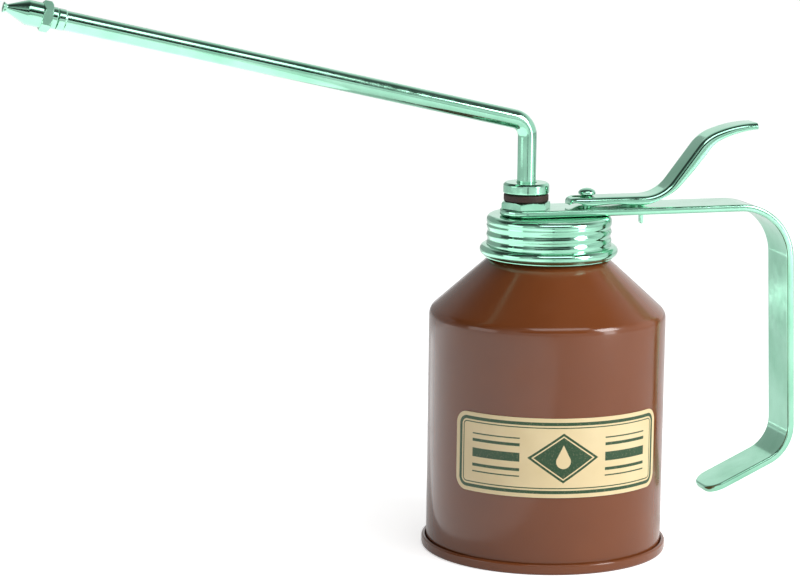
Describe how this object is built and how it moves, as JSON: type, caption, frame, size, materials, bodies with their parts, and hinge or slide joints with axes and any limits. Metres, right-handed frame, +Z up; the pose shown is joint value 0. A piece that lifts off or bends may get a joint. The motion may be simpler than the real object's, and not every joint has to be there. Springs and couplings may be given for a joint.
{
  "type": "pump oil can",
  "caption": "Painted round oil can with a screwed pump head, bent strap handle, thumb lever, spring-returned barrel pump and a long bent swivel spout with a nozzle.",
  "frame": {"origin": "centre of the base on the floor, on the axis of the can", "axes": "+Z up along the can, +X towards the handle, -X towards the spout at rest"},
  "size_m": [0.2734, 0.0832, 0.1886],
  "materials": {
    "brown_enamel": "glossy baked enamel",
    "bright_plating": "bright plated steel with a cool green cast",
    "label_film": "printed label film",
    "leather": "oiled sealing leather",
    "cork_rubber": "cork and rubber gasket sheet",
    "brass": "turned brass",
    "plain_steel": "machined steel"
  },
  "bodies": {
    "can": {"can_shell": "brown_enamel", "base_panel": "brown_enamel", "neck_ring": "bright_plating", "label": "label_film"},
    "gasket": {"cap_gasket": "cork_rubber"},
    "head": {"screw_cap": "bright_plating", "handle_strap": "bright_plating", "clamp_nut": "bright_plating", "spout_washer": "leather", "discharge_stud": "plain_steel", "pump_block": "plain_steel", "passage_plug": "brass", "rod_packing": "leather", "rod_bush": "brass", "pump_barrel": "brass", "outlet_seat": "brass", "outlet_stop_pin": "brass", "foot_valve": "brass", "inlet_stop_pin": "brass", "suction_tube": "brass", "inlet_strainer": "brass", "return_spring": "plain_steel"},
    "lever": {"thumb_lever": "bright_plating"},
    "rod": {"pump_rod": "bright_plating", "piston": "brass", "piston_cup": "leather", "piston_nut": "plain_steel"},
    "spout": {"spout_collar": "bright_plating", "spout_tube": "bright_plating", "nozzle": "bright_plating"},
    "outlet_valve": {"outlet_ball": "plain_steel"},
    "inlet_valve": {"inlet_ball": "plain_steel"}
  },
  "joints": [
    {"name": "cap_lift", "type": "slide", "parent": "can", "child": "gasket", "axis": [0, 0, 1], "range_m": [0, 0.0076]},
    {"name": "cap_turn", "type": "hinge", "parent": "gasket", "child": "head", "pos_m": [0, 0, 0.113], "axis": [0, 0, 1], "range_deg": [0, 900]},
    {"name": "lever_press", "type": "hinge", "parent": "head", "child": "lever", "pos_m": [0.033, 0, 0.11677], "axis": [0, 1, 0], "range_deg": [0, 22], "stiffness_Nm_per_rad": 0.255, "springref_deg": -30.42},
    {"name": "rod_slide", "type": "slide", "parent": "head", "child": "rod", "axis": [0, 0, 1], "range_m": [0, 0.0087], "deforming": ["return_spring"]},
    {"name": "spout_swivel", "type": "hinge", "parent": "head", "child": "spout", "pos_m": [-0.0084, 0, 0.1237], "axis": [0, 0, 1], "continuous": true},
    {"name": "outlet_ball_lift", "type": "slide", "parent": "head", "child": "outlet_valve", "axis": [0, 0, 1], "range_m": [0, 0.0012]},
    {"name": "inlet_ball_lift", "type": "slide", "parent": "head", "child": "inlet_valve", "axis": [0, 0, 1], "range_m": [0, 0.0012]}
  ],
  "couplings": [
    {"joint": "cap_lift", "follows": "cap_turn", "m_per_rad": 0.00047746},
    {"joint": "rod_slide", "follows": "lever_press", "m_per_rad": 0.0226}
  ]
}
